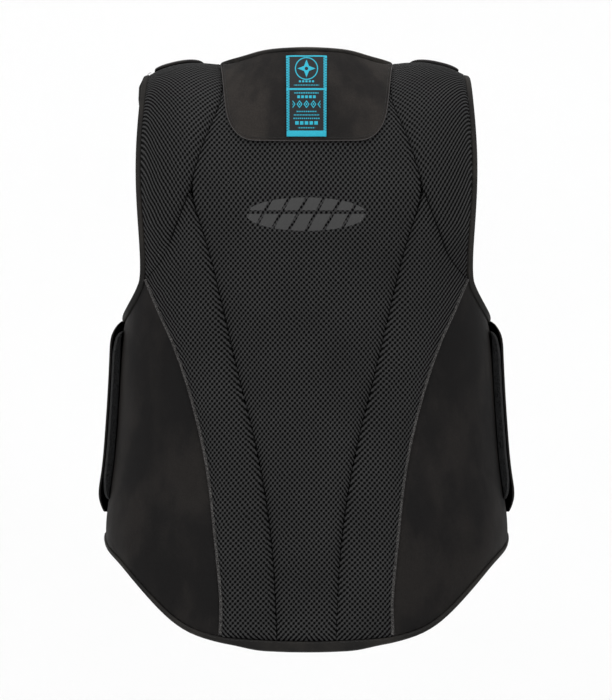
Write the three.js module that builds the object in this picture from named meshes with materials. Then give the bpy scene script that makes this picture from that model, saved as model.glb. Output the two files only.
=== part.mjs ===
import * as THREE from 'three';

// Padded riding vest as it sits on the body, in millimetres.
// +Z is up, the back faces -Y and +X is the wearer's right.
// The origin is where the vest hangs: on the middle of the line between the shoulder ridges.

// Driving sizes
const CHEST_HALF_WIDTH = 172;
const CHEST_HALF_DEPTH = 130;
const BACK_LENGTH = 538;
const SHOULDER_RISE = 150;
const SECTION_POWER = 2.5;
const SHOULDER_POWER = 2.2;
const RIM_THICKNESS = 17;
const PAD_CROWN = 4.5;
const RIDGE_RIM_SHARE = 0.62;
const SEAM_GAP = 0.5;
const LAYER_GAP = 0.6;
const YOKE_GAP = 0.9;
const TAB_GAP = 1.4;
const HEM_BINDING_WIDTH = 9.6;
const HEM_SIDE_BINDING_WIDTH = 5.4;
const ARMHOLE_BINDING_WIDTH = 6;
const ARMHOLE_BINDING_LEAN = 0.5;
const NECK_BINDING_WIDTH = 4;
const NECK_BINDING_PROUD = 4.2;
const NECK_BINDING_GAP = 0.8;
const NECK_ROLL_END = 0.8;
const HEM_WIDE_SHARE = 0.5;
const BINDING_PROUD = 0.8;
const BINDING_ROUND = 2;
const YOKE_THICKNESS = 1.8;
const LABEL_HALF_WIDTH = 18;
const LABEL_HEIGHT = 74;
const LABEL_RISE = 3;
const LABEL_THICKNESS = 1;
const LOOP_PANEL_THICKNESS = 6;
const CLOSURE_FLAP_THICKNESS = 2;
const SHOULDER_CLOSURE_THICKNESS = 1.8;
const ZIP_HALF_WIDTH = 7;
const ZIP_THICKNESS = 4;
const SLIDER_LENGTH = 16;
const SLIDER_WIDTH = 9;
const SLIDER_THICKNESS = 3;
const TAB_LENGTH = 19;
const TAB_REACH = 8;
const TAB_THICKNESS = 3.5;

// Grid steps along the shared seams and across the sewn-on pieces
const STEPS = {
  hemCentre: 6, strip: 7, side: 9, frontArmhole: 5, torso: 12, shoulder: 8, zipTop: 2,
  yokeSide: 6, yokeBottom: 5, labelAcross: 4, labelUp: 6, zipAcross: 2, loopAcross: 7,
  loopUp: 16, flapAcross: 8, flapUp: 20, closure: 5, plateCorner: 4,
};

// Horizontal sections: drop is a share of the back length, width and depth of the chest sizes
const SECTIONS = [
  { drop: 0.00, width: 0.985, depth: 1.02 },
  { drop: 0.28, width: 0.985, depth: 1.02 },
  { drop: 0.45, width: 0.985, depth: 0.98 },
  { drop: 0.54, width: 0.995, depth: 0.95 },
  { drop: 0.62, width: 1.010, depth: 0.94 },
  { drop: 0.70, width: 1.031, depth: 0.96 },
  { drop: 0.77, width: 1.066, depth: 1.00 },
  { drop: 0.82, width: 1.092, depth: 1.02 },
  { drop: 1.02, width: 1.095, depth: 1.06 },
];

// Shoulder ridge seen from behind: out is a share of the half width, rise of the back length
const RIDGE = [
  { out: -0.20, rise: 0.066 },
  { out: 0.00, rise: 0.090 },
  { out: 0.20, rise: 0.066 },
  { out: 0.29, rise: 0.040 },
  { out: 0.35, rise: 0.022 },
  { out: 0.41, rise: 0.008 },
  { out: 0.473, rise: 0.001 },
  { out: 0.60, rise: 0.002 },
  { out: 0.683, rise: 0.000 },
  { out: 0.753, rise: -0.006 },
  { out: 0.839, rise: -0.015 },
  { out: 0.871, rise: -0.024 },
  { out: 0.90, rise: -0.040 },
  { out: 1.02, rise: -0.140 },
];

// Places on the surface: out and drop are shares, turn is an angle round from the centre back,
// top puts the place on the shoulder ridge and front puts it on the chest
const ZIP_OUT = ZIP_HALF_WIDTH / CHEST_HALF_WIDTH;
const SIDE_SEAM_TURN = 97;
const NECK_POINT = { out: 0.473, top: true };
const SHOULDER_POINT = { out: 0.850, top: true };
const SEAM_VERTEX = { out: 0.632, drop: 0.225 };
const ARMPIT_BACK = { out: 0.865, drop: 0.373 };
const ARMPIT_FRONT = { out: 0.790, drop: 0.345, front: true };
const ARMHOLE_LOW = { turn: SIDE_SEAM_TURN, drop: 0.450 };
const YOKE_LINE_ZIP = { out: ZIP_OUT, drop: 0.300, front: true };
const HEM_INNER = { out: 0.158, drop: 0.9925 };
const HEM_OUTER = { out: 0.457, drop: 0.9865 };
const HEM_SIDE = { turn: SIDE_SEAM_TURN, drop: 0.811 };
const HEM_ZIP = { out: ZIP_OUT, drop: 0.808, front: true };
const NECK_ZIP = { out: ZIP_OUT, drop: 0.158, front: true };

const HEM_ROWS = [
  { out: 0.000, drop: 0.9935 },
  HEM_INNER,
  HEM_OUTER,
  { out: 0.566, drop: 0.981 },
  { out: 0.665, drop: 0.966 },
  { out: 0.761, drop: 0.940 },
  { out: 0.820, drop: 0.920 },
  { out: 0.930, drop: 0.882 },
  { out: 1.010, drop: 0.853 },
  { turn: 88, drop: 0.818 },
  HEM_SIDE,
  { turn: 125, drop: 0.809 },
  HEM_ZIP,
];
const NECK_BACK_ROWS = [
  { out: 0.00, drop: -0.0178 },
  { out: 0.14, drop: -0.0158 },
  { out: 0.29, drop: -0.0072 },
  { out: 0.41, drop: 0.0002 },
  NECK_POINT,
];
const NECK_FRONT_ROWS = [
  { ...NECK_POINT, front: true },
  { out: 0.462, drop: 0.050, front: true },
  { out: 0.420, drop: 0.095, front: true },
  { out: 0.300, drop: 0.135, front: true },
  { out: 0.150, drop: 0.154, front: true },
  NECK_ZIP,
];
const ARMHOLE_ROWS = [
  { ...SHOULDER_POINT, front: true },
  { out: 0.830, drop: 0.090, front: true },
  { out: 0.770, drop: 0.170, front: true },
  { out: 0.745, drop: 0.255, front: true },
  ARMPIT_FRONT,
  { out: 0.890, drop: 0.420, front: true },
  ARMHOLE_LOW,
  { turn: 86, drop: 0.448 },
  { out: 0.962, drop: 0.434 },
  { out: 0.912, drop: 0.408 },
  ARMPIT_BACK,
  { out: 0.868, drop: 0.323 },
  { out: 0.881, drop: 0.271 },
  { out: 0.893, drop: 0.220 },
  { out: 0.896, drop: 0.165 },
  { out: 0.888, drop: 0.116 },
  { out: 0.873, drop: 0.066 },
  SHOULDER_POINT,
];
const INNER_SEAM_ROWS = [
  HEM_INNER,
  { out: 0.186, drop: 0.822 },
  { out: 0.264, drop: 0.667 },
  { out: 0.385, drop: 0.512 },
  { out: 0.497, drop: 0.358 },
  { out: 0.581, drop: 0.261 },
  SEAM_VERTEX,
];
const UPPER_SEAM_ROWS = [
  SEAM_VERTEX,
  { out: 0.573, drop: 0.155 },
  { out: 0.511, drop: 0.105 },
  { out: 0.457, drop: 0.070 },
  NECK_POINT,
];
const BLADE_SEAM_ROWS = [
  SEAM_VERTEX,
  { out: 0.690, drop: 0.272 },
  { out: 0.775, drop: 0.340 },
  ARMPIT_BACK,
];
const OUTER_SEAM_ROWS = [
  HEM_OUTER,
  { out: 0.462, drop: 0.925 },
  { out: 0.500, drop: 0.805 },
  { out: 0.554, drop: 0.667 },
  { out: 0.659, drop: 0.538 },
  { out: 0.769, drop: 0.444 },
  ARMPIT_BACK,
];
const YOKE_SIDE_ROWS = [
  { out: 0.368, drop: 0.129 },
  { out: 0.415, drop: 0.107 },
  { out: 0.438, drop: 0.057 },
  { out: 0.459, drop: 0.007 },
];
const YOKE_BOTTOM_ROWS = [
  { out: 0.000, drop: 0.138 },
  { out: 0.301, drop: 0.138 },
  { out: 0.368, drop: 0.129 },
];
const YOKE_TOP_ROWS = [
  { out: 0.000, drop: -0.0156 },
  { out: 0.140, drop: -0.0136 },
  { out: 0.290, drop: -0.0047 },
  { out: 0.459, drop: 0.007 },
];
const LOOP_PANEL = {
  backTurn: 75, frontTurn: 116, topDrop: 0.462, bottomDrop: 0.754,
  edgeThickness: 0.35, edgeShare: 0.12,
};
const CLOSURE_FLAP = {
  backTurn: 84, frontTurn: 132, settleTurn: 119, topDrop: 0.450, bottomDrop: 0.772,
  edgeLift: 0.35, edgeShare: 0.085,
};
const SHOULDER_CLOSURE = {
  inner: 0.56, outer: 0.82, topShare: 0.985, bottomShare: 0.62, ridgeCrown: 0.2, crownGrowth: 3.2,
};

// Hermite interpolation through table rows, with slopes taken from the neighbouring rows
function fromTable(rows, key, value, at) {
  const last = rows.length - 1;
  const place = THREE.MathUtils.clamp(at, rows[0][key], rows[last][key]);
  let i = 0;
  while (i < last - 1 && place > rows[i + 1][key]) i += 1;
  const slope = (k) => {
    const low = rows[Math.max(k - 1, 0)];
    const high = rows[Math.min(k + 1, last)];
    return (high[value] - low[value]) / (high[key] - low[key]);
  };
  const span = rows[i + 1][key] - rows[i][key];
  const t = (place - rows[i][key]) / span;
  const rest = 1 - t;
  return rows[i][value] * rest * rest * (1 + 2 * t)
    + rows[i + 1][value] * t * t * (1 + 2 * rest)
    + slope(i) * span * t * rest * rest
    - slope(i + 1) * span * t * t * rest;
}

function roundRay(angle, power) {
  const sine = Math.sin(angle);
  const cosine = Math.cos(angle);
  const scale = (Math.abs(sine) ** power + Math.abs(cosine) ** power) ** (-1 / power);
  return { along: sine * scale, across: cosine * scale };
}

function halfWidth(z) {
  return CHEST_HALF_WIDTH * fromTable(SECTIONS, 'drop', 'width', -z / BACK_LENGTH);
}

function halfDepth(z) {
  return CHEST_HALF_DEPTH * fromTable(SECTIONS, 'drop', 'depth', -z / BACK_LENGTH);
}

function ridgeHeight(x) {
  return BACK_LENGTH * fromTable(RIDGE, 'out', 'rise', Math.abs(x) / CHEST_HALF_WIDTH);
}

// The body surface: turn runs round from the centre back, climb is the height above the level
// where the shoulder dome begins, and above it a full quarter turn reaches the ridge
const QUARTER = Math.PI / 2;

function surfacePoint(turn, climb) {
  const z = -SHOULDER_RISE + Math.min(climb, 0);
  const ray = roundRay(turn, SECTION_POWER);
  const x = halfWidth(z) * ray.along;
  const y = -halfDepth(z) * ray.across;
  if (climb <= 0) return new THREE.Vector3(x, y, z);
  const rise = roundRay((climb / SHOULDER_RISE) * QUARTER, SHOULDER_POWER);
  const height = ridgeHeight(x) + SHOULDER_RISE;
  return new THREE.Vector3(x, y * rise.across, -SHOULDER_RISE + height * rise.along);
}

const NORMAL_STEP = 0.002;

function surfaceNormal(turn, climb) {
  const rise = NORMAL_STEP * SHOULDER_RISE;
  const low = Math.min(climb, SHOULDER_RISE - rise);
  const round = surfacePoint(turn + NORMAL_STEP, low).sub(surfacePoint(turn - NORMAL_STEP, low));
  const up = surfacePoint(turn, low + rise).sub(surfacePoint(turn, low - rise));
  return round.cross(up).normalize();
}

const BISECT_ROUNDS = 50;

function bisect(low, high, tooLow) {
  let from = low;
  let to = high;
  for (let i = 0; i < BISECT_ROUNDS; i += 1) {
    const middle = (from + to) / 2;
    if (tooLow(middle)) from = middle;
    else to = middle;
  }
  return (from + to) / 2;
}

// A table row becomes a place on the surface, kept as turn and climb in a vector
function locate(row) {
  const z = row.top ? 0 : -row.drop * BACK_LENGTH;
  const low = Math.min(row.top ? 0 : z, -SHOULDER_RISE);
  let turn = THREE.MathUtils.degToRad(row.turn ?? 0);
  if (row.out !== undefined) {
    const x = row.out * CHEST_HALF_WIDTH;
    const share = Math.min(x / halfWidth(low), 1);
    turn = bisect(0, QUARTER, (angle) => roundRay(angle, SECTION_POWER).along < share);
    if (row.front) turn = Math.PI - turn;
  }
  let climb = z + SHOULDER_RISE;
  if (row.top) climb = SHOULDER_RISE;
  else if (climb > 0) {
    climb = bisect(0, SHOULDER_RISE, (value) => surfacePoint(turn, value).z < z);
  }
  return new THREE.Vector3(turn * CHEST_HALF_DEPTH, climb, 0);
}

function mirrored(place) {
  return new THREE.Vector3(-place.x, place.y, 0);
}

// A curve through table rows; one that starts on the centre line also gets its mirrored row
function seamCurve(rows, fromCentre = false) {
  const places = rows.map(locate);
  if (fromCentre) places.unshift(mirrored(places[1]));
  const curve = new THREE.CatmullRomCurve3(places, false, 'centripetal');
  curve.firstRow = fromCentre ? 1 : 0;
  curve.lastRow = places.length - 1;
  return curve;
}

const FINE_STEPS_A_ROW = 40;

// Evenly spaced places along a curve from one table row to another
function stretch(curve, fromRow, toRow, steps) {
  const fine = [];
  const fineSteps = FINE_STEPS_A_ROW * (toRow - fromRow);
  for (let i = 0; i <= fineSteps; i += 1) {
    const row = curve.firstRow + fromRow + ((toRow - fromRow) * i) / fineSteps;
    fine.push(curve.getPoint(row / curve.lastRow));
  }
  const lengths = [0];
  for (let i = 1; i < fine.length; i += 1) {
    lengths.push(lengths[i - 1] + fine[i].distanceTo(fine[i - 1]));
  }
  const total = lengths[lengths.length - 1];
  const places = [fine[0].clone()];
  let k = 1;
  for (let i = 1; i < steps; i += 1) {
    const want = (total * i) / steps;
    while (lengths[k] < want) k += 1;
    const t = (want - lengths[k - 1]) / (lengths[k] - lengths[k - 1]);
    places.push(fine[k - 1].clone().lerp(fine[k], t));
  }
  places.push(fine[fine.length - 1].clone());
  return places;
}

function straight(from, to, steps) {
  const places = [];
  for (let i = 0; i <= steps; i += 1) places.push(from.clone().lerp(to, i / steps));
  return places;
}

function joined(...runs) {
  return runs.reduce((all, run) => all.concat(run.slice(1)), [runs[0][0]]);
}

function reversed(run) {
  return run.slice().reverse();
}

function acrossCentre(run) {
  return joined(reversed(run).map(mirrored), run);
}

function wholeCurve(rows, steps, fromCentre = false) {
  return stretch(seamCurve(rows, fromCentre), 0, rows.length - 1, steps);
}

// Shared seam lines of the right half
const FRONT_STEPS = STEPS.frontArmhole + STEPS.strip;
const hem = seamCurve(HEM_ROWS, true);
const hemInnerRow = HEM_ROWS.indexOf(HEM_INNER);
const hemOuterRow = HEM_ROWS.indexOf(HEM_OUTER);
const hemSideRow = HEM_ROWS.indexOf(HEM_SIDE);
const hemCentre = stretch(hem, 0, hemInnerRow, STEPS.hemCentre);
const hemStrip = stretch(hem, hemInnerRow, hemOuterRow, STEPS.strip);
const hemSide = stretch(hem, hemOuterRow, hemSideRow, STEPS.side);
const hemFront = stretch(hem, hemSideRow, HEM_ROWS.length - 1, FRONT_STEPS);

const armhole = seamCurve(ARMHOLE_ROWS);
const armpitFrontRow = ARMHOLE_ROWS.indexOf(ARMPIT_FRONT);
const armholeLowRow = ARMHOLE_ROWS.indexOf(ARMHOLE_LOW);
const armpitBackRow = ARMHOLE_ROWS.indexOf(ARMPIT_BACK);
const armholeFront = stretch(armhole, 0, armpitFrontRow, STEPS.shoulder);
const armholeTurn = stretch(armhole, armpitFrontRow, armholeLowRow, STEPS.frontArmhole);
const armholeSide = stretch(armhole, armholeLowRow, armpitBackRow, STEPS.side);
const armholeBack = stretch(armhole, armpitBackRow, ARMHOLE_ROWS.length - 1, STEPS.shoulder);

const neckBack = wholeCurve(NECK_BACK_ROWS, STEPS.hemCentre, true);
const neckFront = wholeCurve(NECK_FRONT_ROWS, STEPS.shoulder - STEPS.zipTop);
const innerSeam = wholeCurve(INNER_SEAM_ROWS, STEPS.torso);
const upperSeam = wholeCurve(UPPER_SEAM_ROWS, STEPS.shoulder);
const bladeSeam = wholeCurve(BLADE_SEAM_ROWS, STEPS.strip);
const outerSeam = wholeCurve(OUTER_SEAM_ROWS, STEPS.torso);
const overFront = (place) => new THREE.Vector3(
  Math.PI * CHEST_HALF_DEPTH - place.x, place.y, 0,
);
const ridgeBack = straight(locate(NECK_POINT), locate(SHOULDER_POINT), STEPS.strip);
const ridgeFront = ridgeBack.map(overFront);
const sideSeam = straight(locate(HEM_SIDE), locate(ARMHOLE_LOW), STEPS.torso);
const frontYokeLine = straight(locate(ARMPIT_FRONT), locate(YOKE_LINE_ZIP), STEPS.strip);
const zipLower = straight(locate(HEM_ZIP), locate(YOKE_LINE_ZIP), STEPS.torso);
const zipUpper = straight(locate(YOKE_LINE_ZIP), locate(NECK_ZIP), STEPS.zipTop);

// How far forward and up count, beside outward, when a twisted quad picks its fold
const FOLD_FORWARD = 0.7;
const FOLD_UP = 1.3;

// Meshes are written as points and triangles that share their corners
class Solid {
  constructor() {
    this.points = [];
    this.faces = [];
  }

  add(point) {
    this.points.push(point);
    return this.points.length - 1;
  }

  // Folds a twisted quad along the diagonal whose middle lies further up and out, so that the
  // two walls of a seam fold the same way
  quad(a, b, c, d) {
    const reach = (k, m) => {
      const sum = this.points[k].clone().add(this.points[m]);
      return Math.abs(sum.x) + FOLD_FORWARD * sum.y + FOLD_UP * sum.z;
    };
    if (reach(a, c) > reach(b, d)) this.faces.push(a, b, c, a, c, d);
    else this.faces.push(a, b, d, b, c, d);
  }

  mirror() {
    const other = new Solid();
    other.points = this.points.map((p) => new THREE.Vector3(-p.x, p.y, p.z));
    for (let i = 0; i < this.faces.length; i += 3) {
      other.faces.push(this.faces[i], this.faces[i + 2], this.faces[i + 1]);
    }
    return other;
  }

  geometry() {
    const shape = new THREE.BufferGeometry();
    shape.setFromPoints(this.points);
    shape.setIndex(this.faces);
    shape.computeVertexNormals();
    return shape;
  }
}

// Fills four edges with a grid of places: left and right run up, bottom and top run across
function patchPlaces(left, right, bottom, top) {
  const columns = bottom.length - 1;
  const rows = left.length - 1;
  const grid = [];
  for (let i = 0; i <= columns; i += 1) {
    const s = i / columns;
    const column = [];
    for (let j = 0; j <= rows; j += 1) {
      const t = j / rows;
      const place = left[j].clone().multiplyScalar(1 - s).addScaledVector(right[j], s);
      place.addScaledVector(bottom[i], 1 - t).addScaledVector(top[i], t);
      place.addScaledVector(bottom[0], -(1 - s) * (1 - t));
      place.addScaledVector(bottom[columns], -s * (1 - t));
      place.addScaledVector(top[0], -(1 - s) * t);
      place.addScaledVector(top[columns], -s * t);
      column.push(place);
    }
    grid.push(column);
  }
  return grid;
}

const turnOf = (place) => place.x / CHEST_HALF_DEPTH;
const pointAt = (place) => surfacePoint(turnOf(place), place.y);
const normalAt = (place) => surfaceNormal(turnOf(place), place.y);

// Moves the rim of a grid inwards by half the seam gap
function rimShift(base, i, j, inset) {
  const columns = base.length - 1;
  const rows = base[0].length - 1;
  const shift = new THREE.Vector3();
  const pull = (inward, before, after) => {
    const edge = after.clone().sub(before).normalize();
    const step = inward.clone().sub(base[i][j]);
    step.addScaledVector(edge, -step.dot(edge));
    shift.addScaledVector(step.normalize(), inset);
  };
  const across = [base[Math.max(i - 1, 0)][j], base[Math.min(i + 1, columns)][j]];
  const along = [base[i][Math.max(j - 1, 0)], base[i][Math.min(j + 1, rows)]];
  if (i === 0) pull(base[1][j], ...along);
  if (i === columns) pull(base[columns - 1][j], ...along);
  if (j === 0) pull(base[i][1], ...across);
  if (j === rows) pull(base[i][rows - 1], ...across);
  return shift;
}

// A curved slab over four edges; outer and inner give its distances from the body surface
function slab(edges, outer, inner, inset = SEAM_GAP / 2) {
  const places = patchPlaces(edges.left, edges.right, edges.bottom, edges.top);
  const base = places.map((column) => column.map(pointAt));
  const columns = places.length - 1;
  const rows = places[0].length - 1;
  const solid = new Solid();
  const layer = (distance) => base.map((column, i) => column.map((point, j) => {
    const away = distance(i / columns, j / rows, places[i][j]);
    const lifted = point.clone().addScaledVector(normalAt(places[i][j]), away);
    return solid.add(lifted.add(rimShift(base, i, j, inset)));
  }));
  const high = layer(outer);
  const low = layer(inner);
  for (let i = 0; i < columns; i += 1) {
    for (let j = 0; j < rows; j += 1) {
      solid.quad(high[i][j], high[i + 1][j], high[i + 1][j + 1], high[i][j + 1]);
      solid.quad(low[i][j], low[i][j + 1], low[i + 1][j + 1], low[i + 1][j]);
    }
    solid.quad(low[i][0], low[i + 1][0], high[i + 1][0], high[i][0]);
    solid.quad(high[i][rows], high[i + 1][rows], low[i + 1][rows], low[i][rows]);
  }
  for (let j = 0; j < rows; j += 1) {
    solid.quad(high[0][j], high[0][j + 1], low[0][j + 1], low[0][j]);
    solid.quad(low[columns][j], low[columns][j + 1], high[columns][j + 1], high[columns][j]);
  }
  return solid;
}

const PAD_ROLL_POWER = 5;

// Padding is flat in the middle and rolls down to its sewn edges
function rollOff(share) {
  return 1 - Math.abs(2 * share - 1) ** PAD_ROLL_POWER;
}

const padOuter = (s, t) => PAD_CROWN * rollOff(s) * rollOff(t);

function rimDepth(place) {
  const upward = THREE.MathUtils.clamp(place.y / SHOULDER_RISE, 0, 1);
  return RIM_THICKNESS * THREE.MathUtils.lerp(1, RIDGE_RIM_SHARE, upward);
}

const padInner = (s, t, place) => -rimDepth(place);

function pad(edges) {
  return slab(edges, padOuter, padInner);
}

// A folded cloth edge: a rounded section carried along a seam, on the side named by outward.
// It stands proud of the cloth, and lean is how far it rises for each step away from the seam
function binding(run, widthAt, form) {
  const { closed = false, outward = 1, proudAt = () => BINDING_PROUD, lean = 0 } = form;
  const start = form.start ?? SEAM_GAP / 2;
  const solid = new Solid();
  const points = run.map(pointAt);
  const last = run.length - 1;
  const wrap = (k) => (closed ? (k + run.length) % run.length : THREE.MathUtils.clamp(k, 0, last));
  const rings = run.map((place, k) => {
    const before = points[wrap(k - 1)];
    const after = points[wrap(k + 1)];
    const normal = normalAt(place);
    const side = after.clone().sub(before).cross(normal).normalize().multiplyScalar(outward);
    const low = -rimDepth(place) - BINDING_PROUD;
    const width = widthAt(points[k]);
    const proud = proudAt(points[k]);
    const section = [
      [start, proud],
      [width - BINDING_ROUND, proud],
      [width, proud - BINDING_ROUND],
      [width, low + BINDING_ROUND],
      [width - BINDING_ROUND, low],
      [start, low],
    ];
    return section.map(([out, up]) => solid.add(
      points[k].clone().addScaledVector(side, out).addScaledVector(normal, up + lean * out),
    ));
  });
  const spans = closed ? run.length : last;
  const corners = rings[0].length;
  for (let k = 0; k < spans; k += 1) {
    const ring = rings[k];
    const next = rings[wrap(k + 1)];
    for (let c = 0; c < corners; c += 1) {
      const d = (c + 1) % corners;
      if (outward > 0) solid.quad(ring[c], ring[d], next[d], next[c]);
      else solid.quad(ring[c], next[c], next[d], ring[d]);
    }
  }
  if (!closed) {
    for (let c = 1; c < corners - 1; c += 1) {
      const first = rings[0];
      const end = rings[last];
      if (outward > 0) {
        solid.faces.push(first[0], first[c + 1], first[c], end[0], end[c], end[c + 1]);
      } else {
        solid.faces.push(first[0], first[c], first[c + 1], end[0], end[c + 1], end[c]);
      }
    }
  }
  return solid;
}

const FRONT_CENTRE = Math.PI * CHEST_HALF_DEPTH;

function acrossFront(place) {
  return new THREE.Vector3(2 * FRONT_CENTRE - place.x, place.y, 0);
}

// Four edges between two turns and two climbs
function turnWindow(leftTurn, rightTurn, low, high, columns, rows) {
  const corner = (turn, climb) => new THREE.Vector3(turn * CHEST_HALF_DEPTH, climb, 0);
  return {
    left: straight(corner(leftTurn, low), corner(leftTurn, high), rows),
    right: straight(corner(rightTurn, low), corner(rightTurn, high), rows),
    bottom: straight(corner(leftTurn, low), corner(rightTurn, low), columns),
    top: straight(corner(leftTurn, high), corner(rightTurn, high), columns),
  };
}

const smooth = (from, to, at) => THREE.MathUtils.smoothstep(at, from, to);
const degrees = THREE.MathUtils.degToRad;
const climbOf = (drop) => SHOULDER_RISE - drop * BACK_LENGTH;

// Padding is pressed flat under the yoke
const CROWN_START_DROP = YOKE_BOTTOM_ROWS[0].drop + 0.03;
const CROWN_FULL_DROP = CROWN_START_DROP + 0.06;

function centreOuter(s, t, place) {
  const drop = -pointAt(place).z / BACK_LENGTH;
  return padOuter(s, t) * smooth(CROWN_START_DROP, CROWN_FULL_DROP, drop);
}

function centrePanel() {
  const seam = joined(innerSeam, upperSeam);
  const edges = {
    left: seam.map(mirrored),
    right: seam,
    bottom: acrossCentre(hemCentre),
    top: acrossCentre(neckBack),
  };
  return slab(edges, centreOuter, padInner);
}

function backStrip() {
  return pad({ left: innerSeam, right: outerSeam, bottom: hemStrip, top: bladeSeam });
}

function shoulderPanel() {
  return pad({ left: upperSeam, right: armholeBack, bottom: bladeSeam, top: ridgeBack });
}

function sidePanel() {
  return pad({
    left: outerSeam, right: sideSeam, bottom: hemSide, top: reversed(armholeSide),
  });
}

function frontPanel() {
  const top = joined(reversed(armholeTurn), frontYokeLine);
  return pad({ left: sideSeam, right: zipLower, bottom: hemFront, top });
}

function frontShoulder() {
  const right = joined(zipUpper, reversed(neckFront));
  return pad({
    left: reversed(armholeFront), right, bottom: frontYokeLine, top: reversed(ridgeFront),
  });
}

function neckYoke() {
  const side = wholeCurve(YOKE_SIDE_ROWS, STEPS.yokeSide);
  const edges = {
    left: side.map(mirrored),
    right: side,
    bottom: acrossCentre(wholeCurve(YOKE_BOTTOM_ROWS, STEPS.yokeBottom, true)),
    top: acrossCentre(wholeCurve(YOKE_TOP_ROWS, STEPS.yokeBottom, true)),
  };
  return slab(edges, () => YOKE_GAP + YOKE_THICKNESS, () => YOKE_GAP);
}

function neckLabel() {
  const out = LABEL_HALF_WIDTH / CHEST_HALF_WIDTH;
  const high = -LABEL_RISE / BACK_LENGTH;
  const low = high + LABEL_HEIGHT / BACK_LENGTH;
  const level = (drop) => acrossCentre(wholeCurve(
    [{ out: 0, drop }, { out, drop }], STEPS.labelAcross / 2, true,
  ));
  const side = wholeCurve([{ out, drop: low }, { out, drop: high }], STEPS.labelUp);
  const edges = { left: side.map(mirrored), right: side, bottom: level(low), top: level(high) };
  const back = YOKE_GAP + YOKE_THICKNESS + LAYER_GAP;
  return slab(edges, () => back + LABEL_THICKNESS, () => back, 0);
}

function zipStrip() {
  const edge = joined(zipLower, zipUpper);
  const ends = (place) => straight(place, acrossFront(place), STEPS.zipAcross);
  const edges = {
    left: edge,
    right: edge.map(acrossFront),
    bottom: ends(edge[0]),
    top: ends(edge[edge.length - 1]),
  };
  return slab(edges, () => 0, () => -ZIP_THICKNESS);
}

// A small plate with rounded corners, lying in the plane of along and across
function plate(length, width, thickness, along, across, centre) {
  const radius = Math.min(length, width) / 4;
  const x = length / 2 - radius;
  const y = width / 2 - radius;
  const outline = new THREE.Shape();
  outline.absarc(x, y, radius, 0, QUARTER);
  outline.absarc(-x, y, radius, QUARTER, 2 * QUARTER);
  outline.absarc(-x, -y, radius, 2 * QUARTER, 3 * QUARTER);
  outline.absarc(x, -y, radius, 3 * QUARTER, 4 * QUARTER);
  const shape = new THREE.ExtrudeGeometry(outline, {
    depth: thickness, bevelEnabled: false, curveSegments: STEPS.plateCorner,
  });
  shape.translate(0, 0, -thickness / 2);
  const up = along.clone().cross(across).normalize();
  const level = up.clone().cross(along).normalize();
  shape.applyMatrix4(new THREE.Matrix4().makeBasis(along.clone().normalize(), level, up));
  shape.translate(centre.x, centre.y, centre.z);
  return shape;
}

function zipSlider() {
  const place = locate(NECK_ZIP);
  place.x = FRONT_CENTRE;
  place.y -= SLIDER_LENGTH;
  const normal = normalAt(place);
  const below = place.clone();
  below.y -= SLIDER_LENGTH;
  const along = pointAt(place).sub(pointAt(below));
  const across = normal.clone().cross(along);
  const centre = pointAt(place).addScaledVector(normal, LAYER_GAP + SLIDER_THICKNESS / 2);
  return plate(SLIDER_LENGTH, SLIDER_WIDTH, SLIDER_THICKNESS, along, across, centre);
}

// Falls from 1 in the middle to the edge value at both ends of the height
function rolledEnds(edgeValue, edgeShare, t) {
  const fromEnd = Math.min(t, 1 - t);
  return THREE.MathUtils.lerp(edgeValue, 1, smooth(0, edgeShare, fromEnd));
}

function loopPanel() {
  const edges = turnWindow(
    degrees(LOOP_PANEL.backTurn), degrees(LOOP_PANEL.frontTurn),
    climbOf(LOOP_PANEL.bottomDrop), climbOf(LOOP_PANEL.topDrop),
    STEPS.loopAcross, STEPS.loopUp,
  );
  const back = PAD_CROWN + LAYER_GAP;
  const { edgeThickness, edgeShare } = LOOP_PANEL;
  const thickness = (t) => LOOP_PANEL_THICKNESS * rolledEnds(edgeThickness, edgeShare, t);
  return slab(edges, (s, t) => back + thickness(t), () => back, 0);
}

function closureFlap() {
  const edges = turnWindow(
    degrees(CLOSURE_FLAP.backTurn), degrees(CLOSURE_FLAP.frontTurn),
    climbOf(CLOSURE_FLAP.bottomDrop), climbOf(CLOSURE_FLAP.topDrop),
    STEPS.flapAcross, STEPS.flapUp,
  );
  const span = CLOSURE_FLAP.frontTurn - CLOSURE_FLAP.backTurn;
  const settled = (CLOSURE_FLAP.settleTurn - CLOSURE_FLAP.backTurn) / span;
  const seat = PAD_CROWN + LAYER_GAP;
  const lift = LOOP_PANEL_THICKNESS + LAYER_GAP;
  const onPad = (t) => rolledEnds(CLOSURE_FLAP.edgeLift, CLOSURE_FLAP.edgeShare, t);
  const back = (s, t) => seat + lift * onPad(t) * (1 - smooth(settled, 1, s));
  return slab(edges, (s, t) => back(s, t) + CLOSURE_FLAP_THICKNESS, back, 0);
}

function shoulderClosure() {
  const outer = overFront(locate({ out: SHOULDER_CLOSURE.outer, top: true }));
  const inner = overFront(locate({ out: SHOULDER_CLOSURE.inner, top: true }));
  const edges = turnWindow(
    turnOf(outer), turnOf(inner), SHOULDER_CLOSURE.bottomShare * SHOULDER_RISE,
    SHOULDER_CLOSURE.topShare * SHOULDER_RISE, STEPS.closure, STEPS.closure,
  );
  const grown = (t) => SHOULDER_CLOSURE.ridgeCrown + SHOULDER_CLOSURE.crownGrowth * (1 - t);
  const crown = (t) => PAD_CROWN * Math.min(1, grown(t));
  const back = (s, t) => LAYER_GAP + crown(t);
  return slab(edges, (s, t) => back(s, t) + SHOULDER_CLOSURE_THICKNESS, back, 0);
}

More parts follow.
